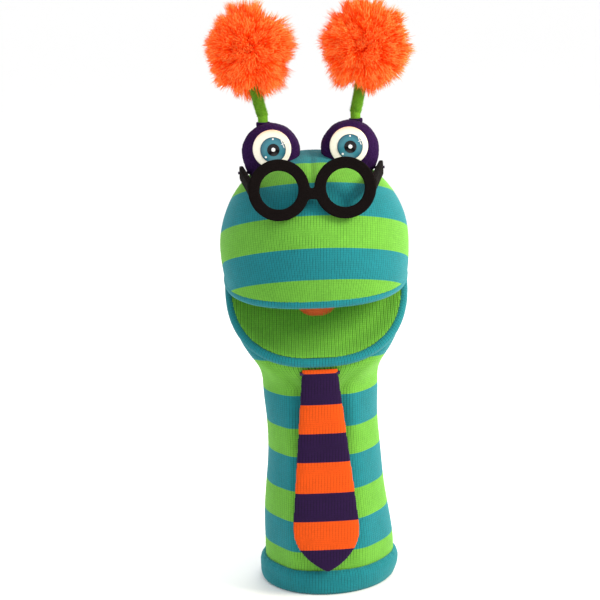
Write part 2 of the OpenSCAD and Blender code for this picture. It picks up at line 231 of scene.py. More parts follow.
def finish_piece(piece, body, nodes):
    """What a piece rides on, and the CAD nodes it stands for."""
    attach(piece, body)
    if nodes:
        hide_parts(*nodes)


# ---- materials ----
def new_material(name, roughness, sheen=0.0, sheen_tint=(1, 1, 1), coat=0.0, shine=0.5):
    material = bpy.data.materials.new(name)
    material.use_nodes = True
    shader = material.node_tree.nodes["Principled BSDF"]
    shader.inputs["Roughness"].default_value = roughness
    shader.inputs["Specular IOR Level"].default_value = shine
    shader.inputs["Sheen Weight"].default_value = sheen
    shader.inputs["Sheen Tint"].default_value = (*sheen_tint, 1)
    shader.inputs["Sheen Roughness"].default_value = 0.5
    shader.inputs["Coat Weight"].default_value = coat
    shader.inputs["Coat Roughness"].default_value = 0.06
    return material, material.node_tree, shader


def add_node(tree, kind, **inputs):
    node = tree.nodes.new(kind)
    for key, value in inputs.items():
        node.inputs[key.replace("_", " ")].default_value = value
    return node


def noise(tree, size_mm, detail=2.0, roughness=0.5):
    """A noise texture with features of about size_mm, in the object's own space."""
    place = tree.nodes.get("Place") or tree.nodes.new("ShaderNodeTexCoord")
    place.name = "Place"
    made = add_node(tree, "ShaderNodeTexNoise", Scale=1000.0 / size_mm, Detail=detail, Roughness=roughness)
    tree.links.new(place.outputs["Object"], made.inputs["Vector"])
    return made


def ramp(tree, source, stops):
    """A colour ramp of (place, colour) stops driven by a value."""
    made = tree.nodes.new("ShaderNodeValToRGB")
    elements = made.color_ramp.elements
    while len(elements) < len(stops):
        elements.new(0.5)
    for element, (place, colour) in zip(elements, stops):
        element.position = place
        element.color = (*colour, 1)
    tree.links.new(source, made.inputs["Fac"])
    return made


def mix(tree, factor, a, b, mode="MIX"):
    made = tree.nodes.new("ShaderNodeMix")
    made.data_type = "RGBA"
    made.blend_type = mode
    for socket, value in (("Factor", factor), ("A", a), ("B", b)):
        kind = "VALUE" if socket == "Factor" else "RGBA"
        target = next(i for i in made.inputs if i.name == socket and i.type == kind)
        if isinstance(value, bpy.types.NodeSocket):
            tree.links.new(value, target)
        else:
            target.default_value = value
    return next(o for o in made.outputs if o.type == "RGBA")


def bump(tree, shader, height, depth_mm, strength=1.0):
    made = add_node(tree, "ShaderNodeBump", Strength=strength, Distance=depth_mm * MM)
    tree.links.new(height, made.inputs["Height"])
    tree.links.new(made.outputs["Normal"], shader.inputs["Normal"])


def shaded(colour, factor):
    return tuple(c * factor for c in colour)


def yarn(name, colour, deep=0.22, sheen=0.3):
    """Soft acrylic yarn: painted shade makes it darker in the hollows between stitches; uneven in dye, with
    fine fibres.
    """
    pale = tuple(0.45 + 0.55 * c for c in colour)
    material, tree, shader = new_material(name, 0.85, sheen, pale, shine=0.15)
    tone = tree.nodes.new("ShaderNodeAttribute")
    tone.attribute_name = "tone"
    # painted shade: the tone of the stitch relief darkens the colour in the hollows, down to deep of it
    stops = [(0.0, shaded(colour, deep)), (0.45, shaded(colour, 0.82)), (1.0, colour)]
    relief = ramp(tree, tone.outputs["Fac"], stops)
    dye = noise(tree, 9.0, 3.0)
    fibre = noise(tree, 0.45, 3.0, 0.7)
    varied = ramp(tree, dye.outputs["Fac"], [(0.3, (0.9, 0.92, 0.9)), (0.7, (1.0, 1.0, 1.0))])
    specks = ramp(tree, fibre.outputs["Fac"], [(0.3, (0.8, 0.8, 0.8)), (0.7, (1.0, 1.0, 1.0))])
    soft = mix(tree, 1.0, relief.outputs["Color"], varied.outputs["Color"], "MULTIPLY")
    tree.links.new(mix(tree, 1.0, soft, specks.outputs["Color"], "MULTIPLY"), shader.inputs["Base Color"])
    bump(tree, shader, fibre.outputs["Fac"], 0.25, 0.6)
    return material


def pile(name, colour, tip, size_mm=0.7, depth_mm=0.5, sheen=0.5):
    """Brushed or flocked cloth: a short soft pile."""
    material, tree, shader = new_material(name, 0.95, sheen, tip, shine=0.06)
    fine = noise(tree, size_mm, 4.0, 0.7)
    broad = noise(tree, 6.0, 2.0)
    fuzz = ramp(tree, fine.outputs["Fac"], [(0.3, shaded(colour, 0.6)), (0.7, tip)])
    worn = ramp(tree, broad.outputs["Fac"], [(0.3, (0.85, 0.85, 0.85)), (0.7, (1, 1, 1))])
    tree.links.new(mix(tree, 1.0, fuzz.outputs["Color"], worn.outputs["Color"], "MULTIPLY"),
                   shader.inputs["Base Color"])
    bump(tree, shader, fine.outputs["Fac"], depth_mm, 0.8)
    return material


def printed(name, stops, roughness=0.12, coat=0.6):
    """A glossy printed disc whose colour runs from the centre, tone 0, to the edge, tone 1."""
    material, tree, shader = new_material(name, roughness, coat=coat, shine=0.3)
    tone = tree.nodes.new("ShaderNodeAttribute")
    tone.attribute_name = "tone"
    colours = ramp(tree, tone.outputs["Fac"], stops)
    ink = ramp(tree, noise(tree, 1.2, 2.0).outputs["Fac"], [(0.3, (0.93, 0.93, 0.93)), (0.7, (1, 1, 1))])
    tree.links.new(mix(tree, 1.0, colours.outputs["Color"], ink.outputs["Color"], "MULTIPLY"),
                   shader.inputs["Base Color"])
    return material


def strand(name, colour, glow=0.0):
    """One tint of fibre. Its faint glow stands for the light that fine fibres pass on to each other."""
    material, tree, shader = new_material(name, 0.5, 0.15, colour, shine=0.2)
    shader.inputs["Base Color"].default_value = (*colour, 1)
    shader.inputs["Emission Color"].default_value = (*colour, 1)
    shader.inputs["Emission Strength"].default_value = glow
    return material


LIME = (0.20, 0.60, 0.060)
TEAL = (0.012, 0.290, 0.345)
lime_yarn = yarn("lime_yarn", LIME)
teal_yarn = yarn("teal_yarn", TEAL)
# deep sets how dark the painted shade in the stitch hollows is
orange_yarn = yarn("orange_yarn", (1.0, 0.11, 0.006), deep=0.5, sheen=0.08)
purple_yarn = yarn("purple_yarn", (0.026, 0.006, 0.062), sheen=0.08)
red_yarn = yarn("red_yarn", (1.0, 0.17, 0.05), deep=0.8, sheen=0.1)
fleece = pile("purple_fleece", (0.014, 0.004, 0.036), (0.040, 0.012, 0.080), sheen=0.2)
velvet = pile("stem_velvet", (0.10, 0.33, 0.015), (0.22, 0.52, 0.04), 0.5, 0.3)
flock = pile("black_flock", (0.003, 0.002, 0.002), (0.009, 0.006, 0.006), 0.5, 0.3, 0.04)
foam = pile("liner_foam", (0.75, 0.70, 0.50), (0.85, 0.82, 0.66), 1.2, 0.4, 0.1)
board = pile("mouth_board", (0.70, 0.70, 0.68), (0.80, 0.80, 0.78), 0.8, 0.1, 0.1)

# ---- stripes: the ring heights at which the knitting changes colour ----
NAPE_SEAM = 218.6                       # ring height of the seam between neck and head
SLEEVE_STRIPES = [12, 30, 51, 72, 95, 115, 137, 159.5, 179, 198, NAPE_SEAM]  # teal below the first
HEAD_STRIPES = [198.0, NAPE_SEAM, 240.4, 264.6, 280.7]  # lime below the first
sleeve_colour = stripe_slots(SLEEVE_STRIPES, 1)
head_colour = stripe_slots(HEAD_STRIPES, 0)
KNITS = [lime_yarn, teal_yarn]
RING_TILT = 0.36                        # the head's rings lean back by this slope


# ---- sleeve ----
def bell(angle, middle, width):
    """A smooth bump in an angle, in degrees."""
    away = (angle - middle + 180) % 360 - 180
    return np.exp(-(away / width) ** 2)


def sleeve_radius(angle, z):
    """The sleeve's radius with its soft folds. Angle 270 is the front and 0 the right."""
    r = np.interp(z, SLEEVE_Z, SLEEVE_R)
    fade = smooth(z / 30) * smooth((SLEEVE_TOP + 4 - z) / 30)
    # the front is pressed in behind the tie, with a soft fold on each side of it
    r = r - 3.0 * fade * bell(angle, 272, 20) + 1.8 * fade * bell(angle, 240, 12)
    r = r + 1.2 * fade * bell(angle, 305, 14)
    # near the hem one side is fuller than the other
    low = smooth((75 - z) / 60)
    r = r + 2.6 * low * bell(angle, 0, 30) - 1.0 * low * bell(angle, 215, 18)
    # higher up the knit is drawn in beside the tie's edges
    tucked = smooth((z - 85) / 45)
    r = r - 2.2 * tucked * (bell(angle, 249, 8) + bell(angle, 291, 8))
    # slow waves round and along the sleeve
    round_wave = 0.5 * fade * np.sin(np.radians(angle * 3 + z * 0.9))
    long_wave = 0.35 * fade * np.sin(np.radians(z * 5 + angle))
    return r + round_wave + long_wave


SLEEVE_WALES = 126


def sleeve_surface(u, v):
    angle = u * 360 / SLEEVE_WALES
    z = v * COURSE
    r = sleeve_radius(angle, z)
    turn = np.radians(angle)
    return np.stack([r * np.cos(turn), r * np.sin(turn), z + 0 * r], -1)


def sleeve_course_colour(course):
    return sleeve_colour((course + 0.5) * COURSE)


first_course = int((HEM_H - 5) / COURSE)
middle_course = int(round(70 / COURSE))
last_course = int(SLEEVE_TOP / COURSE)
for part, courses in (("lower", (first_course, middle_course)), ("upper", (middle_course, last_course))):
    piece = knit(f"sleeve_knit_{part}", sleeve_surface, (0, SLEEVE_WALES), courses, sleeve_course_colour,
                 KNITS, closed=True)
    finish_piece(piece, "sleeve", ["sleeve"])

# ---- hem band ----
HEM_WALES = 146


def hem_profile(s):
    """Radius and height of the folded hem at share s of its way: inside, bottom, outside, tucked top."""
    inside = [[-5.0, 6.0], [-4.4, 1.4], [-2.2, 0.15]]
    outside = [[-0.6, 1.8], [0, 5.0], [0.1, HEM_H - 5]]
    top = [[-0.6, HEM_H - 2], [-2.0, HEM_H - 0.4], [-3.6, HEM_H - 0.8]]
    fold = np.array(inside + outside + top) + (HEM_R, 0)
    steps = np.concatenate([[0], np.cumsum(np.linalg.norm(np.diff(fold, axis=0), axis=1))])
    place = s * steps[-1]
    return np.interp(place, steps, fold[:, 0]), np.interp(place, steps, fold[:, 1])


HEM_COURSES = 21


def hem_surface(u, v):
    angle = u * 360 / HEM_WALES
    r, z = hem_profile(v / HEM_COURSES)
    above = np.maximum(z, 14)
    body = sleeve_radius(angle, above) - np.interp(above, SLEEVE_Z, SLEEVE_R)
    r = r + 0.8 * body * smooth(z / 10)
    gathers = 0.5 + 0.5 * np.sin(np.radians(angle * 37 + 40 * np.sin(angle)))
    r = r - 0.5 * smooth((z - HEM_H + 4) / 4) * gathers
    turn = np.radians(angle)
    return np.stack([r * np.cos(turn), r * np.sin(turn), z + 0 * r], -1)


hem = knit("hem_knit", hem_surface, (0, HEM_WALES), (0, HEM_COURSES), one_colour, [teal_yarn],
           closed=True, relief=0.5)
finish_piece(hem, "sleeve", ["hem_band"])


# ---- head ----
CHEEK_IN = 0.048                        # how far the sides draw in at the foot of the cheeks
FRONT_IN = 0.018
NAPE_IN = 0.035
SQUARENESS = 0.4                        # the outline's extra exponent low on the cheeks
SQUARE_RISE = 7
SQUARE_SPAN = 34


def head_inside(x, y, z):
    """Below 0 inside the head's surface, above 0 outside."""
    high = np.clip(1 - ((z - HEAD_Z) / HEAD_C) ** 2, 1e-6, 1)
    below = np.maximum(HEAD_Z - z, 0) / CHEEK
    top = np.where(z > HEAD_Z, np.sqrt(high), 1.0)
    side = HEAD_A * (top - CHEEK_IN * below ** 2)
    deep = HEAD_B * (top - np.where(y > HEAD_Y, NAPE_IN, FRONT_IN) * below ** 2)
    n = 2 + SQUARENESS * np.clip((HEAD_Z + SQUARE_RISE - z) / SQUARE_SPAN, 0, 1)
    away = (np.abs(x) / side) ** n + (np.abs(y - HEAD_Y) / deep) ** n - 1
    return np.where(z < HEAD_Z + HEAD_C, away, 1.0)


HALVINGS = 26


def reach(origin, direction, far):
    """The distance from origin along direction to the head's surface."""
    near, far = np.zeros(np.shape(direction[0])), np.full(np.shape(direction[0]), float(far))
    for _ in range(HALVINGS):
        middle = (near + far) / 2
        inside = head_inside(*(o + d * middle for o, d in zip(origin, direction))) < 0
        near, far = np.where(inside, middle, near), np.where(inside, far, middle)
    return near


TILT_LENGTH = math.hypot(1, RING_TILT)
POLE = np.array([0, RING_TILT, 1]) / TILT_LENGTH  # the rings' axis, up and back
RING_SIDE = np.array([1.0, 0, 0])
RING_BACK = np.cross(POLE, RING_SIDE)
HEAD_WALES = 192
HEAD_MIDDLE = np.array([0, HEAD_Y, HEAD_Z])
POLE_REACH = math.hypot(HEAD_B * POLE[1], HEAD_C * POLE[2]) - 0.02
MIDDLE_H = HEAD_Z + RING_TILT * HEAD_Y  # ring height through the head's middle


def head_course_colour(course):
    """Courses count up to 0 at the pole."""
    up = POLE_REACH * np.cos((course + 0.5) * COURSE / POLE_REACH)
    return head_colour(MIDDLE_H + up * TILT_LENGTH)


def head_surface(u, v):
    turn = u * 2 * math.pi / HEAD_WALES
    down = np.minimum(-v * COURSE / POLE_REACH, math.pi - 0.05)
    centre = HEAD_MIDDLE + (POLE_REACH * np.cos(down))[..., None] * POLE
    out = np.cos(turn)[..., None] * RING_SIDE + np.sin(turn)[..., None] * RING_BACK
    far = reach(np.moveaxis(centre, -1, 0), np.moveaxis(out, -1, 0), 90) * smooth(-v)
    points = centre + out * far[..., None]
    soft = 0.5 * lumps(points, 45, 3) + dart(points)
    return points + out * (soft * smooth(-v / 4))[..., None]


def dart(points):
    """The short gathered dart on top of the head, between the eyes."""
    across = points[..., 0]
    near = smooth((points[..., 2] - 275) / 10) * smooth((-points[..., 1] - 5) / 20)
    return -1.2 * near * np.exp(-(across / 2.5) ** 2)


def ring_height(points):
    return points[..., 2] + RING_TILT * points[..., 1]


def keep_head(middles):
    """In front the head ends at the upper lip; behind, along the ring where the nape starts."""
    lip_top = CREASE[2] + (LIP_H - 1.5) / math.cos(UPPER_TILT) + middles[:, 1] * math.tan(UPPER_TILT)
    return np.where(middles[:, 1] < 1, middles[:, 2] > lip_top, ring_height(middles) > NAPE_SEAM - 0.2)


HEAD_COURSES = 108
SECTORS = {"back": (0, HEAD_WALES // 2), "front_left": (HEAD_WALES // 2, 3 * HEAD_WALES // 4),
           "front_right": (3 * HEAD_WALES // 4, HEAD_WALES)}
for part, wales in SECTORS.items():
    piece = knit(f"head_knit_{part}", head_surface, wales, (-HEAD_COURSES, 0), head_course_colour,
                 KNITS, keep_head)
    finish_piece(piece, "head", ["head_cover"])


# ---- neck: in front it rises to the lower lip, behind it joins the head ----
def neck_share(z, top):
    return smooth((z - SLEEVE_TOP) / (top - SLEEVE_TOP))


def lean(z):
    """Slope of the knitting's rings: level on the sleeve, leaning back with the head above the crease."""
    return RING_TILT * smooth((z - SLEEVE_TOP) / 60)


RIM_A = BOARD_A + 1.5
RIM_L = JAW_L + 3


def lower_rim(turn):
    """The neck's rim under the lower lip, at an angle in radians from pi to 2 pi."""
    c, s = np.cos(turn), np.sin(turn)
    out = RIM_L * np.abs(s) ** (2 / MOUTH_N)
    x = RIM_A * np.sign(c) * np.abs(c) ** (2 / MOUTH_N)
    y = RIM_DROP * math.sin(LOWER_TILT) - out * math.cos(LOWER_TILT)
    z = CREASE[2] - RIM_DROP * math.cos(LOWER_TILT) - out * math.sin(LOWER_TILT)
    return x, y, z


def neck_front_surface(u, v):
    turn = u * 2 * math.pi / SLEEVE_WALES
    x1, y1, z1 = lower_rim(np.clip(turn, math.pi, 2 * math.pi))
    foot = sleeve_radius(np.degrees(turn), SLEEVE_TOP)
    height = v * COURSE
    z = height
    for _ in range(5):
        share = (z - SLEEVE_TOP) / (z1 - SLEEVE_TOP)
        grown = np.where(share < 1, smooth(share), 1 + 0 * share)
        y = foot * np.sin(turn) * (1 - grown) + y1 * grown
        z = height - lean(height) * y
    share = (z - SLEEVE_TOP) / (z1 - SLEEVE_TOP)
    grown = np.where(share < 1, smooth(share), 1 + 0 * share)
    x = foot * np.cos(turn) * (1 - grown) + x1 * grown
    return np.stack([x, y, z], -1)


def below_lower_lip(points, drop):
    """Whether points are more than drop below the lower palate's plane."""
    depth = -(points[..., 1] * -math.sin(LOWER_TILT) + (points[..., 2] - CREASE[2]) * math.cos(LOWER_TILT))
    return depth > drop


top_course = int(206 / COURSE)
neck_front = knit("neck_knit_front", neck_front_surface, (SLEEVE_WALES // 2, SLEEVE_WALES),
                  (last_course, top_course), sleeve_course_colour, KNITS,
                  lambda m: below_lower_lip(m, RIM_DROP - 1.8))


def nape_surface(u, v):
    turn = u * 2 * math.pi / SLEEVE_WALES
    height = v * COURSE
    z = height + 0 * turn
    side = corners("neck_flare")[1][0]
    back = corners("neck_flare")[1][1]
    at_side = np.cos(turn) ** 4
    for _ in range(4):
        grown = neck_share(z, CREASE[2] - 5)
        a = NECK_R + (side - NECK_R) * grown
        b = NECK_R + (back - NECK_R) * grown
        neck = 1 / np.sqrt((np.cos(turn) / a) ** 2 + (np.sin(turn) / b) ** 2)
        head = reach((0, 0, z), (np.cos(turn), np.sin(turn), 0 * turn), 80)
        rings = ring_height(np.stack([0 * turn, neck * np.sin(turn), z], -1))
        share = smooth((rings - 180 - 20 * at_side) / (36 - 18 * at_side))
        r = neck * (1 - share) + head * share + 0.3 * smooth((z - SLEEVE_TOP - 2) / 6)
        z = height - lean(z) * r * np.sin(turn)
    soft = smooth((z - 150) / 20) * smooth((205 - z) / 20) * np.sin(z * 0.28 + 0.6 * np.sin(turn * 3))
    # soft folds behind; in front of the sides it runs on under the front piece
    r = r + soft * np.clip(np.sin(turn), 0, 1) - 0.9 * smooth(-6 * np.sin(turn))
    return np.stack([r * np.cos(turn), r * np.sin(turn), z], -1)


def keep_nape(middles):
    lower = below_lower_lip(middles, RIM_DROP - 3)
    return np.where(middles[:, 1] < 0, lower, ring_height(middles) < NAPE_SEAM + 1.2)


NAPE_TUCK = 8                           # wales of the nape that run on under the front piece
nape_wales = (-NAPE_TUCK, SLEEVE_WALES // 2 + NAPE_TUCK)
nape_top = int((NAPE_SEAM + 3) / COURSE)
nape = knit("neck_knit_back", nape_surface, nape_wales, (last_course, nape_top), sleeve_course_colour,
            KNITS, keep_nape)


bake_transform(neck_front)
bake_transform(nape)
for piece in (neck_front, nape):
    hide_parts("neck_flare")


# ---- mouth ----
def mouth_path(a, length, extra):
    """Dense points of the mouth's outline in its plate's plane, and the way walked along it."""
    turn = np.linspace(0, math.pi, 400)
    x = a * np.sign(np.cos(turn)) * np.abs(np.cos(turn)) ** (2 / MOUTH_N)
    y = -length * np.sin(turn) ** (2 / MOUTH_N)
    x = np.concatenate([[a], x, [-a]])
    y = np.concatenate([[extra], y, [extra]])
    steps = np.concatenate([[0], np.cumsum(np.hypot(np.diff(x), np.diff(y)))])
    return x, y, steps


def on_plate(x, y, z, tilt):
    """Points of a mouth plate's own plane, in the puppet's space."""
    return np.stack([x + 0 * y, y * math.cos(tilt) - z * math.sin(tilt),
                     CREASE[2] + y * math.sin(tilt) + z * math.cos(tilt)], -1)


def lip(name, tilt, body, up, length, nodes):
    """A bound lip: knitting rolled over the edge of a mouth plate. up is 1 above the mouth, -1 below."""
    margin = 0.8                        # the roll's middle lies this far outside the plate
    past_crease = 2.5
    path_x, path_y, steps = mouth_path(BOARD_A + margin, length + margin, past_crease)
    wales = int(steps[-1] / WALE)
    courses = 10

    def surface(u, v):
        place = u * steps[-1] / wales
        x, y = np.interp(place, steps, path_x), np.interp(place, steps, path_y)
        ahead = np.interp(place + 1, steps, path_x) - np.interp(place - 1, steps, path_x)
        aside = np.interp(place + 1, steps, path_y) - np.interp(place - 1, steps, path_y)
        size = np.maximum(np.hypot(ahead, aside), 1e-6)
        out_x, out_y = -aside / size, ahead / size
        roll = math.radians(120) - v / courses * math.radians(265)
        out = 1.0 + 3.0 * np.cos(roll)
        rise = up * (LIP_H / 2 + 0.1 + (LIP_H / 2 + 0.2) * np.sin(roll))
        return on_plate(x + out_x * out, y + out_y * out, rise, tilt)

    made = knit(name, surface, (0, wales), (0, courses), one_colour, [teal_yarn], relief=0.4, inward=up < 0)
    finish_piece(made, body, nodes)


lip("upper_lip_knit", UPPER_TILT, "head", 1, BOARD_L, ["upper_lip"])
lip("lower_lip_knit", LOWER_TILT, "jaw", -1, JAW_L, ["lower_lip"])


def lining(name, tilt, body, facing, a, length, start, height, yarn_used, nodes,
           stitch=(2.4, 1.6), relief=0.7):
    """Flat ribbed knitting in a mouth plate's plane, inside a mouth outline a by length that begins
    start in front of the crease. facing is 1 up, -1 down; height(edge, x, y) is where it lies, by the
    share of the way to the outline."""
    wide, tall = stitch
    wales, courses = int(2 * a / wide) + 2, int((length - start) / tall) + 2

    def outline(x, y):
        return (np.abs(x) / a) ** MOUTH_N + (np.abs(y) / length) ** MOUTH_N

    def surface(u, v):
        x, y = (u - wales / 2) * wide, -start - v * tall
        return on_plate(x, y, height(outline(x, y), x, y), tilt)

    def keep(middles):
        y = middles[:, 1] * math.cos(tilt) + (middles[:, 2] - CREASE[2]) * math.sin(tilt)
        return outline(middles[:, 0], y) < 1.03

    made = knit(name, surface, (0, wales), (0, courses), one_colour, [yarn_used], keep, relief=relief,
                inward=facing > 0)
    finish_piece(made, body, nodes)


def bowl(up):
    """The palate's height: a shallow bowl that meets the lips."""
    return lambda edge, x, y: up * (1.5 - 1.6 * smooth((edge - 0.6) / 0.4)
                                    + 0.3 * lumps(np.stack([x, y + 40, 0 * x], -1), 32, 11))


def underside(edge, x, y):
    return 0.1 - LIP_H + 0 * x


def tongue_rise(edge, x, y):
    return 0.9 - 2.2 * smooth((edge - 0.5) / 0.5)


lining("upper_palate_knit", UPPER_TILT, "head", -1, BOARD_A, BOARD_L, -1, bowl(1), lime_yarn,
       ["upper_palate"])
lining("lower_palate_knit", LOWER_TILT, "jaw", 1, BOARD_A, JAW_L, -1, bowl(-1), lime_yarn,
       ["lower_palate"])
lining("jaw_knit_underside", LOWER_TILT, "jaw", -1, BOARD_A - 1, JAW_L - 1, 3, underside, lime_yarn,
       ["jaw_cover"])
TONGUE_A = corners("tongue")[1][0]
TONGUE_L = 30.0
lining("tongue_knit", LOWER_TILT, "jaw", 1, TONGUE_A, TONGUE_L, 3, tongue_rise, red_yarn,
       ["tongue"], (1.7, 1.3), 0.5)

# ---- tie ----
TIE_TOP_A = 11.5                        # half width at the top
TIE_LEAN = math.radians(3.3)
TIE_STRIPE = 20.0
TIE_FIRST = 3                           # the first colour change is this far below a full stripe
TIE_HALF_T = 1.7                        # half its thickness
tie_low, tie_high = corners("tie_blade")
tie_pin = joint_place("tie_swing")
TIE_A = tie_high[0]
TIE_TOP = (tie_high[2] - tie_pin[2]) / math.cos(TIE_LEAN)
TIE_TIP = (tie_low[2] - tie_pin[2]) / math.cos(TIE_LEAN)
TIE_POINT = 31.0                        # length of the rounded point
SHOULDER_N = 2.3                        # exponents of its rounded shoulders
SHOULDER_P = 0.85
tie_narrowing = TIE_A - TIE_TOP_A
tie_wide = TIE_TIP + TIE_POINT          # height of the widest place


def tie_half(h):
    """The tie's half width at a height from its pin."""
    above = TIE_A - tie_narrowing * np.clip((h - tie_wide) / (TIE_TOP - tie_wide), 0, 1)
    below = np.clip((tie_wide - h) / TIE_POINT, 0, 1)
    return np.where(h > tie_wide, above, TIE_A * (1 - below ** SHOULDER_N) ** SHOULDER_P)


def tie_side(front):
    """One side of the tie, 1 for the front and -1 for the back. Wales past the outline close up on it."""
    def surface(u, v):
        h = np.clip(v * COURSE + TIE_TIP, TIE_TIP, TIE_TOP)
        half = tie_half(h)
        x = np.clip(u * WALE, -half, half)
        edge = np.clip(np.abs(x) / np.maximum(half, 0.01), 0, 1)
        ends = smooth((h - TIE_TIP) / 3) * smooth((TIE_TOP - h) / 2.5 + 0.02)
        thick = front * (TIE_HALF_T * np.sqrt(np.maximum(1 - edge ** 4, 0)) * np.sqrt(ends))
        curl = 0.0042 * x * x * (0.4 + 0.6 * smooth((h + 40) / 40))
        wave = 0.5 * lumps(np.stack([x, h, 0 * x], -1), 50, 21) - curl
        out = thick + wave
        y = tie_pin[1] + h * math.sin(TIE_LEAN) - out * math.cos(TIE_LEAN)
        return np.stack([x, y, tie_pin[2] + h * math.cos(TIE_LEAN) + out * math.sin(TIE_LEAN)], -1)
    return surface


def tie_course_colour(course):
    down = TIE_TOP - TIE_TIP - (course + 0.5) * COURSE
    return np.floor((down - TIE_FIRST) / TIE_STRIPE + 2).astype(int) % 2


tie_wales = int(TIE_A / WALE) + 1
tie_courses = int((TIE_TOP - TIE_TIP) / COURSE) + 1
for part, front in (("front", 1), ("back", -1)):
    piece = knit(f"tie_knit_{part}", tie_side(front), (-tie_wales, tie_wales), (0, tie_courses),
                 tie_course_colour, [purple_yarn, orange_yarn], inward=front < 0)
    finish_piece(piece, "tie", ["tie_blade"])


# ---- turned and tubular pieces ----
def sweep(name, centres, radii, sides, material):
    """A smooth closed tube through centres with the given radii; a radius of 0 closes an end."""
    centres, radii = np.asarray(centres, float), np.asarray(radii, float)
    ahead = np.gradient(centres, axis=0)
    ahead /= np.linalg.norm(ahead, axis=1, keepdims=True)
    aside = np.cross(ahead, (0.31, 0.95, 0.05))
    aside /= np.linalg.norm(aside, axis=1, keepdims=True)
    third = np.cross(ahead, aside)
    turn = np.arange(sides) * 2 * math.pi / sides
    ring = aside[:, None] * np.cos(turn)[:, None] + third[:, None] * np.sin(turn)[:, None]
    points = centres[:, None] + ring * radii[:, None, None]
    faces = grid_faces(len(centres), sides, True).reshape(-1, 4)
    return make_object(name, points.reshape(-1, 3), faces, 0, [material])


# ---- eye pods ----
POD_Z = 300.0
POD_ROUND = 3.2                         # the pod's squareness, as a superellipse exponent


def eye_pod(side_name, side):
    low, high = corners(f"eye_pod_{side_name}")
    r = (high[0] - low[0]) / 2
    half = (high[1] - low[1]) / 2
    centre = np.array([(low[0] + high[0]) / 2, (low[1] + high[1]) / 2, POD_Z])
    around, across = np.meshgrid(np.linspace(0, 2 * math.pi, 320, endpoint=False),
                                 np.linspace(-math.pi / 2, math.pi / 2, 150))
    out = np.abs(np.cos(across)) ** (2 / POD_ROUND)
    deep = np.sign(np.sin(across)) * np.abs(np.sin(across)) ** (2 / POD_ROUND)
    x, z = r * out * np.cos(around), r * out * np.sin(around)
    foot = smooth((-z - 4) / 12) * out
    x = x * (1 + 0.16 * foot ** 2)
    points = centre + np.stack([x, half * deep, z], -1)
    normals = -grid_normals(points, True)
    soft = 0.45 * lumps(points, 12, 31 + side) + 0.16 * lumps(points, 2.6, 33 + side)
    soft = soft + 0.10 * lumps(points, 1.3, 35 + side)
    points = points + normals * soft[..., None]
    flat = points.reshape(-1, 3)
    faces = grid_faces(*around.shape, True).reshape(-1, 4)[:, ::-1]
    middle = flat[faces].mean(1)
    outside = head_inside(middle[:, 0], middle[:, 1], middle[:, 2] + 2.5) > 0
    piece = make_object(f"eye_pod_fleece_{side_name}", flat, faces[outside], 0, [fleece])
    finish_piece(piece, "head", [f"eye_pod_{side_name}", f"eye_foam_{side_name}"])


# ---- eyes ----
CREAM_STOPS = [(0.0, (0.93, 0.90, 0.80)), (0.55, (0.90, 0.84, 0.70)), (1.0, (0.90, 0.52, 0.33))]
IRIS_STOPS = [(0.0, (0.02, 0.14, 0.20)), (0.65, (0.045, 0.22, 0.29)), (0.88, (0.03, 0.15, 0.21)),
              (1.0, (0.01, 0.06, 0.10))]
PUPIL_STOPS = [(0.0, (0.002, 0.002, 0.003)), (1.0, (0.004, 0.004, 0.006))]
cream = printed("eye_cream", CREAM_STOPS)
iris_ink = printed("iris_blue", IRIS_STOPS, coat=0.3)
pupil_ink = printed("pupil_black", PUPIL_STOPS, 0.2, 0.15)
spark_ink = printed("spark_white", [(0.0, (0.95, 0.95, 0.95)), (1.0, (0.90, 0.92, 0.95))])


def button(name, centre, radius, thick, crown, material, shade=None, count=72):
    """A glossy disc facing forward, its back at the centre's y. Its middle stands out by crown."""
    dome = np.linspace(0, 0.94, 24)
    rings = np.concatenate([dome, [0.97, 0.99, 1.0, 1.0, 1.0, 0.0]])
    back = np.concatenate([0 * dome, [0.03, 0.12, 0.3, 0.6, 1.0, 1.0]])
    around, out = np.meshgrid(np.linspace(0, 2 * math.pi, count, endpoint=False), rings)
    rim = back[:, None] + 0 * around
    x = centre[0] + radius * out * np.cos(around)
    y = centre[1] - crown * (1 - out ** 2) * (rim < 0.9) - thick * (1 - rim)
    z = centre[2] + radius * out * np.sin(around)
    tone = out if shade is None else shade(out, around)
    faces = grid_faces(*around.shape, True).reshape(-1, 4)
    return make_object(name, np.stack([x, y, z], -1).reshape(-1, 3), faces, 0, [material], tone)


def star(name, centre, reach_mm, material):
    """A four-pointed sparkle, slightly domed."""
    turn = np.linspace(0, 2 * math.pi, 128, endpoint=False)
    long = reach_mm * (0.14 + 0.86 * np.abs(np.cos(2 * turn - 0.7)) ** 14)
    share = np.array([0, 0.5, 0.9, 1.0, 1.0])[:, None]
    rise = np.array([0.25, 0.22, 0.15, 0.06, 0.0])[:, None] + 0 * turn
    points = np.stack([centre[0] + share * long * np.cos(turn), centre[1] - rise,
                       centre[2] + share * long * np.sin(turn)], -1)
    faces = grid_faces(len(share), len(turn), True).reshape(-1, 4)
    return make_object(name, points.reshape(-1, 3), faces, 0, [material], 0 * rise)


def peach_above(out, around):
    """The eye's cream turns to peach towards its upper edge."""
    return out ** 3 * (0.35 + 0.65 * np.sin(around)).clip(0, 1)


DISC_T = 1.6
IRIS_R = 8.3
PUPIL_R = 4.1
GLINTS = {"glint": ((0.0, -0.32, 0.2), 1.35), "dot": ((0.0, 0.25, 7.0), 0.6),
          "streak": ((-5.0, 0.25, -4.4), 0.8)}   # place from the pupil's middle, and radius


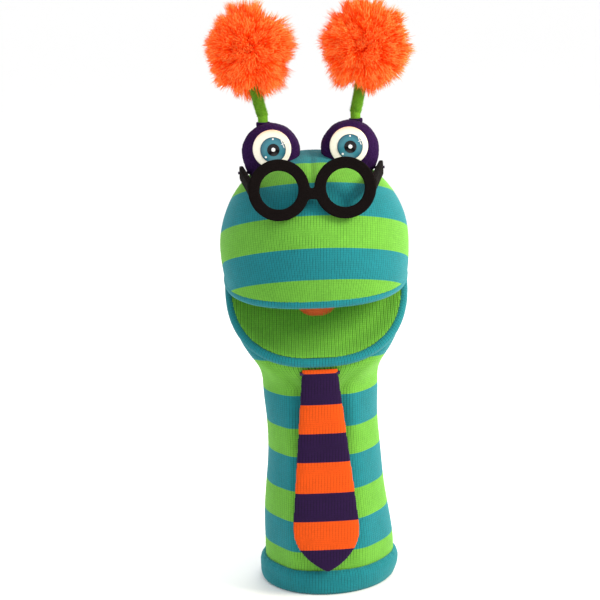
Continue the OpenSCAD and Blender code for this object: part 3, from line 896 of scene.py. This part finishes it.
def eye(side_name):
    low, high = corners(f"eye_disc_{side_name}")
    centre = np.array([(low[0] + high[0]) / 2, low[1] + DISC_T, (low[2] + high[2]) / 2])
    iris_at = centre + (0.7, -DISC_T - 0.15, -0.5)
    pupil_at = iris_at + (0.2, -0.45, 0)
    dome = button(f"eye_dome_{side_name}", centre, (high[0] - low[0]) / 2, DISC_T - 0.4, 0.8, cream,
                  peach_above)
    finish_piece(dome, "head", [f"eye_disc_{side_name}"])
    iris = button(f"iris_print_{side_name}", iris_at, IRIS_R, 0.25, 0.5, iris_ink)
    finish_piece(iris, "head", [f"iris_{side_name}"])
    pupil = button(f"pupil_print_{side_name}", pupil_at, PUPIL_R, 0.2, 0.35, pupil_ink)
    finish_piece(pupil, "head", [f"pupil_{side_name}"])
    for name, (place, size) in GLINTS.items():
        spark = button(f"eye_{name}_{side_name}", pupil_at + place, size, 0.2, 0.15, spark_ink, count=24)
        finish_piece(spark, "head", [])
    sparkle = star(f"eye_star_{side_name}", pupil_at + (6.2, 0.2, 3.6), 3.0, spark_ink)
    finish_piece(sparkle, "head", [])


# ---- glasses ----
def softened(name, node, body, voxel_mm, rounds, fuzz_mm, material):
    """A CAD node's shape with soft rounded edges and a fuzzy surface."""
    made = frame["nodes"][node].copy()
    made.data = made.data.copy()
    made.name = name
    bpy.context.scene.collection.objects.link(made)
    made.hide_render = False
    remesh = made.modifiers.new("Remesh", "REMESH")
    remesh.mode = "VOXEL"
    remesh.voxel_size = voxel_mm * MM
    round_off = made.modifiers.new("Smooth", "SMOOTH")
    round_off.iterations = rounds
    shape = made.evaluated_get(bpy.context.evaluated_depsgraph_get()).to_mesh()
    points = np.array([v.co for v in shape.vertices]) / MM
    normals = np.array([v.normal for v in shape.vertices])
    faces = np.array([tuple(p.vertices) for p in shape.polygons if len(p.vertices) == 4])
    bpy.data.objects.remove(made)
    fuzz = 0.6 * lumps(points, 1.1, 41) + 0.4 * lumps(points, 7, 43)
    piece = make_object(name, points + normals * (fuzz_mm * fuzz)[:, None], faces, 0, [material])
    finish_piece(piece, body, [node])


softened("glasses_foam", "glasses_front", "glasses", 0.6, 6, 0.18, flock)
for side_name, side in SIDES:
    softened(f"temple_foam_{side_name}", f"temple_{side_name}", "glasses", 0.5, 5, 0.15, flock)
    eye_pod(side_name, side)
    eye(side_name)

# ---- antennae ----
FUR_GLOW = 0.17
# The tints step from the fibres' feet to their tips: the deepest red is painted shade inside the pom-pom,
# the lightest orange is painted light on the tips.
FUR_COLOURS = {"fur_painted_shade": (1.0, 0.06, 0.003), "fur_red": (1.0, 0.09, 0.004),
               "fur_orange": (1.0, 0.15, 0.010), "fur_painted_light": (1.0, 0.30, 0.07)}
PILE_COLOURS = {"pile_deep": (0.08, 0.27, 0.01), "pile_mid": (0.18, 0.46, 0.025),
                "pile_light": (0.33, 0.66, 0.07)}
fur_tints = [strand(name, colour, FUR_GLOW) for name, colour in FUR_COLOURS.items()]
pile_tints = [strand(name, colour) for name, colour in PILE_COLOURS.items()]
fur_ball = pile("fur_ball", (1.0, 0.07, 0.004), (1.0, 0.12, 0.01), 1.5, 0.5)


def strands(name, lines, width, materials, tints):
    """Thin tapered three-sided fibres. lines is fibres by joints by 3; tints is fibres by stretches."""
    count, joints = lines.shape[:2]
    ahead = lines[:, -1] - lines[:, 0]
    aside = np.cross(ahead, rng.normal(size=(count, 3)))
    aside /= np.linalg.norm(aside, axis=1, keepdims=True)
    third = np.cross(ahead, aside)
    third /= np.linalg.norm(third, axis=1, keepdims=True)
    turn = np.arange(3) * 2 * math.pi / 3
    ring = aside[:, None] * np.cos(turn)[:, None] + third[:, None] * np.sin(turn)[:, None]
    size = width / 2 * np.linspace(1, 0.45, joints - 1)
    tubes = lines[:, :-1, None] + ring[:, None] * size[:, None, None]
    points = np.concatenate([tubes.reshape(count, -1, 3), lines[:, -1:]], 1)
    faces, stretch = [], []
    for joint in range(joints - 1):
        for k in range(3):
            a, b = joint * 3 + k, joint * 3 + (k + 1) % 3
            if joint < joints - 2:
                faces += [(a, b, b + 3), (a, b + 3, a + 3)]
                stretch += [joint, joint]
            else:
                faces.append((a, b, 3 * (joints - 1)))
                stretch.append(joint)
    every = (np.arange(count)[:, None, None] * points.shape[1] + np.array(faces)).reshape(-1, 3)
    return make_object(name, points.reshape(-1, 3), every, tints[:, stretch].reshape(-1), materials)


def scatter(count):
    """Evenly spread unit directions."""
    k = np.arange(count) + 0.5
    z = 1 - 2 * k / count
    turn = k * math.pi * (3 - math.sqrt(5))
    flat = np.sqrt(1 - z * z)
    return np.stack([flat * np.cos(turn), flat * np.sin(turn), z], 1)


# for each layer of fur: the number of strands, the distance of their feet from the middle, their width
POM_LAYERS = {"inner": (9000, 15.0, 0.7), "middle": (9000, 15.5, 0.62), "outer": (9000, 16.0, 0.55)}
POM_TUFTS = 190
POM_BALL_R = 18


def pom_ball(side_name, centre):
    """The small solid middle of a pom-pom."""
    turn, up = np.meshgrid(np.linspace(0, 2 * math.pi, 64, endpoint=False),
                           np.linspace(-math.pi / 2, math.pi / 2, 40))
    ball = np.stack([np.cos(up) * np.cos(turn), np.cos(up) * np.sin(turn), np.sin(up)], -1)
    ball = centre + ball * (POM_BALL_R + 1.2 * lumps(ball * POM_BALL_R, 9, 51))[..., None]
    faces = grid_faces(*turn.shape, True).reshape(-1, 4)
    middle = make_object(f"pom_ball_{side_name}", ball.reshape(-1, 3), faces, 0, [fur_ball])
    finish_piece(middle, f"antenna_{side_name}", [f"pom_fur_{side_name}", f"pom_core_{side_name}"])


def pom(side_name, centre, radius):
    """Shaggy pom-pom: layers of long fibres drawn together into tufts."""
    tufts = scatter(POM_TUFTS) + rng.normal(scale=0.09, size=(POM_TUFTS, 3))
    tufts /= np.linalg.norm(tufts, axis=1, keepdims=True)
    tuft_reach = radius * rng.uniform(0.80, 1.16, POM_TUFTS)
    tuft_bend = rng.normal(scale=3.5, size=(POM_TUFTS, 3)) + (0, 0, -2.0)
    for layer, (count, start, width) in POM_LAYERS.items():
        out = scatter(count) + rng.normal(scale=0.07, size=(count, 3))
        out /= np.linalg.norm(out, axis=1, keepdims=True)
        mine = np.argmax(out @ tufts.T, axis=1)
        far = (tuft_reach[mine] * rng.uniform(0.72, 1.04, count))[:, None]
        gather = rng.uniform(0.0, 0.6, count)[:, None]
        tip_way = out * (1 - gather) + tufts[mine] * gather + rng.normal(scale=0.05, size=(count, 3))
        tip = tip_way / np.linalg.norm(tip_way, axis=1, keepdims=True) * far + tuft_bend[mine] * gather
        foot = out * start
        share = np.linspace(0, 1, 5)[None, :, None]
        straight = foot[:, None] + (tip - foot)[:, None] * share
        fuller = out[:, None] * (3.0 * np.sin(math.pi * share))
        lines = centre + straight + fuller + rng.normal(scale=0.25, size=(count, 5, 3)) * share
        # each fibre's tints step up from foot to tip: painted shade at the feet, painted light at the tips
        steps = np.array([0, 1, 2, 3])[None] + rng.integers(-1, 2, count)[:, None]
        tints = np.clip(steps, 0, len(fur_tints) - 1)
        piece = strands(f"pom_fur_{layer}_{side_name}", lines, width, fur_tints, tints)
        finish_piece(piece, f"antenna_{side_name}", [])


STEM_R = 3.3
STEM_BOW = 0.9                          # how far the stem's middle bows outward
PILE_COUNT = 9000
PILE_REACH = 0.72                       # share of the way to the pom-pom that shows its pile
PILE_LENGTH = 0.9


def stem_line(root, top, side, share):
    """Points of a stem's centre line at shares of its length."""
    bow = np.stack([STEM_BOW * side * np.sin(math.pi * share), 0 * share, 0 * share], 1)
    return root + (top - root) * share[:, None] + bow


def stem_pile(side_name, side, root, top):
    """The short bristling pile round a stem."""
    place = rng.random(PILE_COUNT) * PILE_REACH
    turn = rng.random(PILE_COUNT) * 2 * math.pi
    ahead = (top - root) / np.linalg.norm(top - root)
    aside = np.cross(ahead, (0, 1, 0))
    aside /= np.linalg.norm(aside)
    out = np.cos(turn)[:, None] * aside + np.sin(turn)[:, None] * np.cross(ahead, aside)
    foot = stem_line(root, top, side, place) + out * (STEM_R - 0.3)
    away = out + rng.normal(scale=0.4, size=(PILE_COUNT, 3))
    lines = foot[:, None] + away[:, None] * (PILE_LENGTH * np.linspace(0, 1, 3))[None, :, None]
    tints = rng.integers(0, len(pile_tints), (PILE_COUNT, 1)) + np.array([[0, 0]])
    fuzz = strands(f"stem_pile_{side_name}", lines, 0.3, pile_tints, tints)
    finish_piece(fuzz, f"antenna_{side_name}", [])


def stem_foot(side_name, root):
    """The rounded foot on which the stem turns, and the fleece collar under it."""
    up = np.linspace(0, math.pi / 2, 12)
    down = np.linspace(-6, -0.5, 8)
    z = np.concatenate([down, STEM_R * np.sin(up)])
    radius = np.concatenate([STEM_R + 0 * down, STEM_R * np.cos(up)])
    foot = sweep(f"stem_foot_{side_name}", root + np.stack([0 * z, 0 * z, z], 1), radius, 24, velvet)
    finish_piece(foot, f"antenna_root_{side_name}", [f"stem_root_{side_name}"])
    softened(f"stem_collar_fleece_{side_name}", f"stem_collar_{side_name}", "head", 0.45, 4, 0.15,
             fleece)


def antenna(side_name, side):
    root = joint_place(f"antenna_sway_{side_name}")
    low, high = corners(f"pom_fur_{side_name}")
    top = (low + high) / 2
    line = stem_line(root, top, side, np.linspace(0, 1, 40))
    core = sweep(f"stem_core_{side_name}", line, STEM_R + 0.15 * lumps(line, 9, 61), 24, velvet)
    finish_piece(core, f"antenna_{side_name}", [f"stem_cover_{side_name}"])
    stem_pile(side_name, side, root, top)
    stem_foot(side_name, root)
    pom_ball(side_name, top)
    pom(side_name, top, (high[0] - low[0]) / 2)


for side_name, side in SIDES:
    antenna(side_name, side)

# ---- CAD nodes that stay ----
steel, steel_tree, steel_shader = new_material("steel_wire", 0.35)
steel_shader.inputs["Metallic"].default_value = 1.0
steel_shader.inputs["Base Color"].default_value = (0.5, 0.5, 0.5, 1)
bump(steel_tree, steel_shader, noise(steel_tree, 0.4).outputs["Fac"], 0.05)
plastic = printed("white_plastic", [(0.0, (0.8, 0.8, 0.8)), (1.0, (0.8, 0.8, 0.8))], 0.3)
thread = pile("sewing_thread", (0.03, 0.02, 0.05), (0.08, 0.05, 0.12), 0.4, 0.1)
# The crease tape has no tone attribute, so its lime yarn shows only the painted shade of the stitch
# hollows.
KEPT = {"crease_tape": lime_yarn, "upper_board": board, "lower_board": board, "head_foam": foam,
        "tie_stitches": thread, "temple_stitches": thread, "eye_washer_left": plastic,
        "eye_washer_right": plastic, "stem_wire_left": steel, "stem_wire_right": steel}
for node, material in KEPT.items():
    data = frame["nodes"][node].data
    for index in range(len(data.materials)):
        data.materials[index] = material

# ---- lining of the sleeve ----
LINING_FOOT = 4                         # it starts this far above the hem's edge
LINING_IN = 1.7                         # inside the sleeve's outer surface


def sleeve_inside():
    angle, z = np.meshgrid(np.arange(SLEEVE_WALES) * 360 / SLEEVE_WALES,
                           np.arange(LINING_FOOT, SLEEVE_TOP + 1, 2.0))
    r = sleeve_radius(angle, z) - LINING_IN
    turn = np.radians(angle)
    points = np.stack([r * np.cos(turn), r * np.sin(turn), z], -1)
    faces = grid_faces(*z.shape, True).reshape(-1, 4)[:, ::-1]
    # with no tone attribute its yarn shows only the painted shade of the stitch hollows, a dark lime all
    # over
    return make_object("sleeve_lining", points.reshape(-1, 3), faces, 0, [lime_yarn])


sleeve_lining = sleeve_inside()
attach(sleeve_lining, "sleeve")

# ---- floor, light and camera ----
bpy.ops.mesh.primitive_plane_add(size=30)
floor = bpy.context.object
floor.name = "floor"
paint, _, paint_shader = new_material("pale_floor", 0.6)
paint_shader.inputs["Base Color"].default_value = (0.98, 0.98, 0.98, 1)
floor.data.materials.append(paint)

world = bpy.data.worlds.new("studio")
bpy.context.scene.world = world
world.use_nodes = True
world.node_tree.nodes["Background"].inputs["Color"].default_value = (1, 1, 1, 1)
world.node_tree.nodes["Background"].inputs["Strength"].default_value = 1.02


def aim(thing, place, target, roll=0.0):
    """Puts a lamp or camera at a place in metres, pointing at the target."""
    ahead = np.array(target, float) - place
    ahead /= np.linalg.norm(ahead)
    side = np.cross(ahead, (0, 0, 1))
    side /= np.linalg.norm(side)
    up = np.cross(side, ahead)
    turned = side * math.cos(roll) - up * math.sin(roll)
    risen = side * math.sin(roll) + up * math.cos(roll)
    for row in range(3):
        for column, axis in enumerate((turned, risen, -ahead)):
            thing.matrix_world[row][column] = axis[row]
        thing.matrix_world[row][3] = place[row]


def lamp(name, place, size, power, colour):
    light = bpy.data.lights.new(name, "AREA")
    light.size = size
    light.energy = power
    light.color = colour
    holder = bpy.data.objects.new(name, light)
    bpy.context.scene.collection.objects.link(holder)
    aim(holder, np.array(place), (0, 0, 0.2))


lamp("key", (1.0, -0.45, 0.85), 0.45, 18, (1.0, 0.90, 0.74))
lamp("rim", (0.3, 0.9, 0.9), 0.7, 5, (1.0, 1.0, 1.0))

DISTANCE = 1.2
ELEVATION = math.radians(12)
ROLL = math.radians(2.4)
AIM = np.array([0, 0, 0.2])
camera_data = bpy.data.cameras.new("camera")
camera = bpy.data.objects.new("camera", camera_data)
bpy.context.scene.collection.objects.link(camera)
bpy.context.scene.camera = camera
camera_data.lens = 105.9
camera_data.sensor_width = 36
camera_data.shift_x = -0.0275
camera_data.shift_y = -0.0120
eye_point = AIM + DISTANCE * np.array([0, -math.cos(ELEVATION), math.sin(ELEVATION)])
aim(camera, eye_point, AIM, ROLL)
bpy.context.scene.view_settings.view_transform = "Standard"
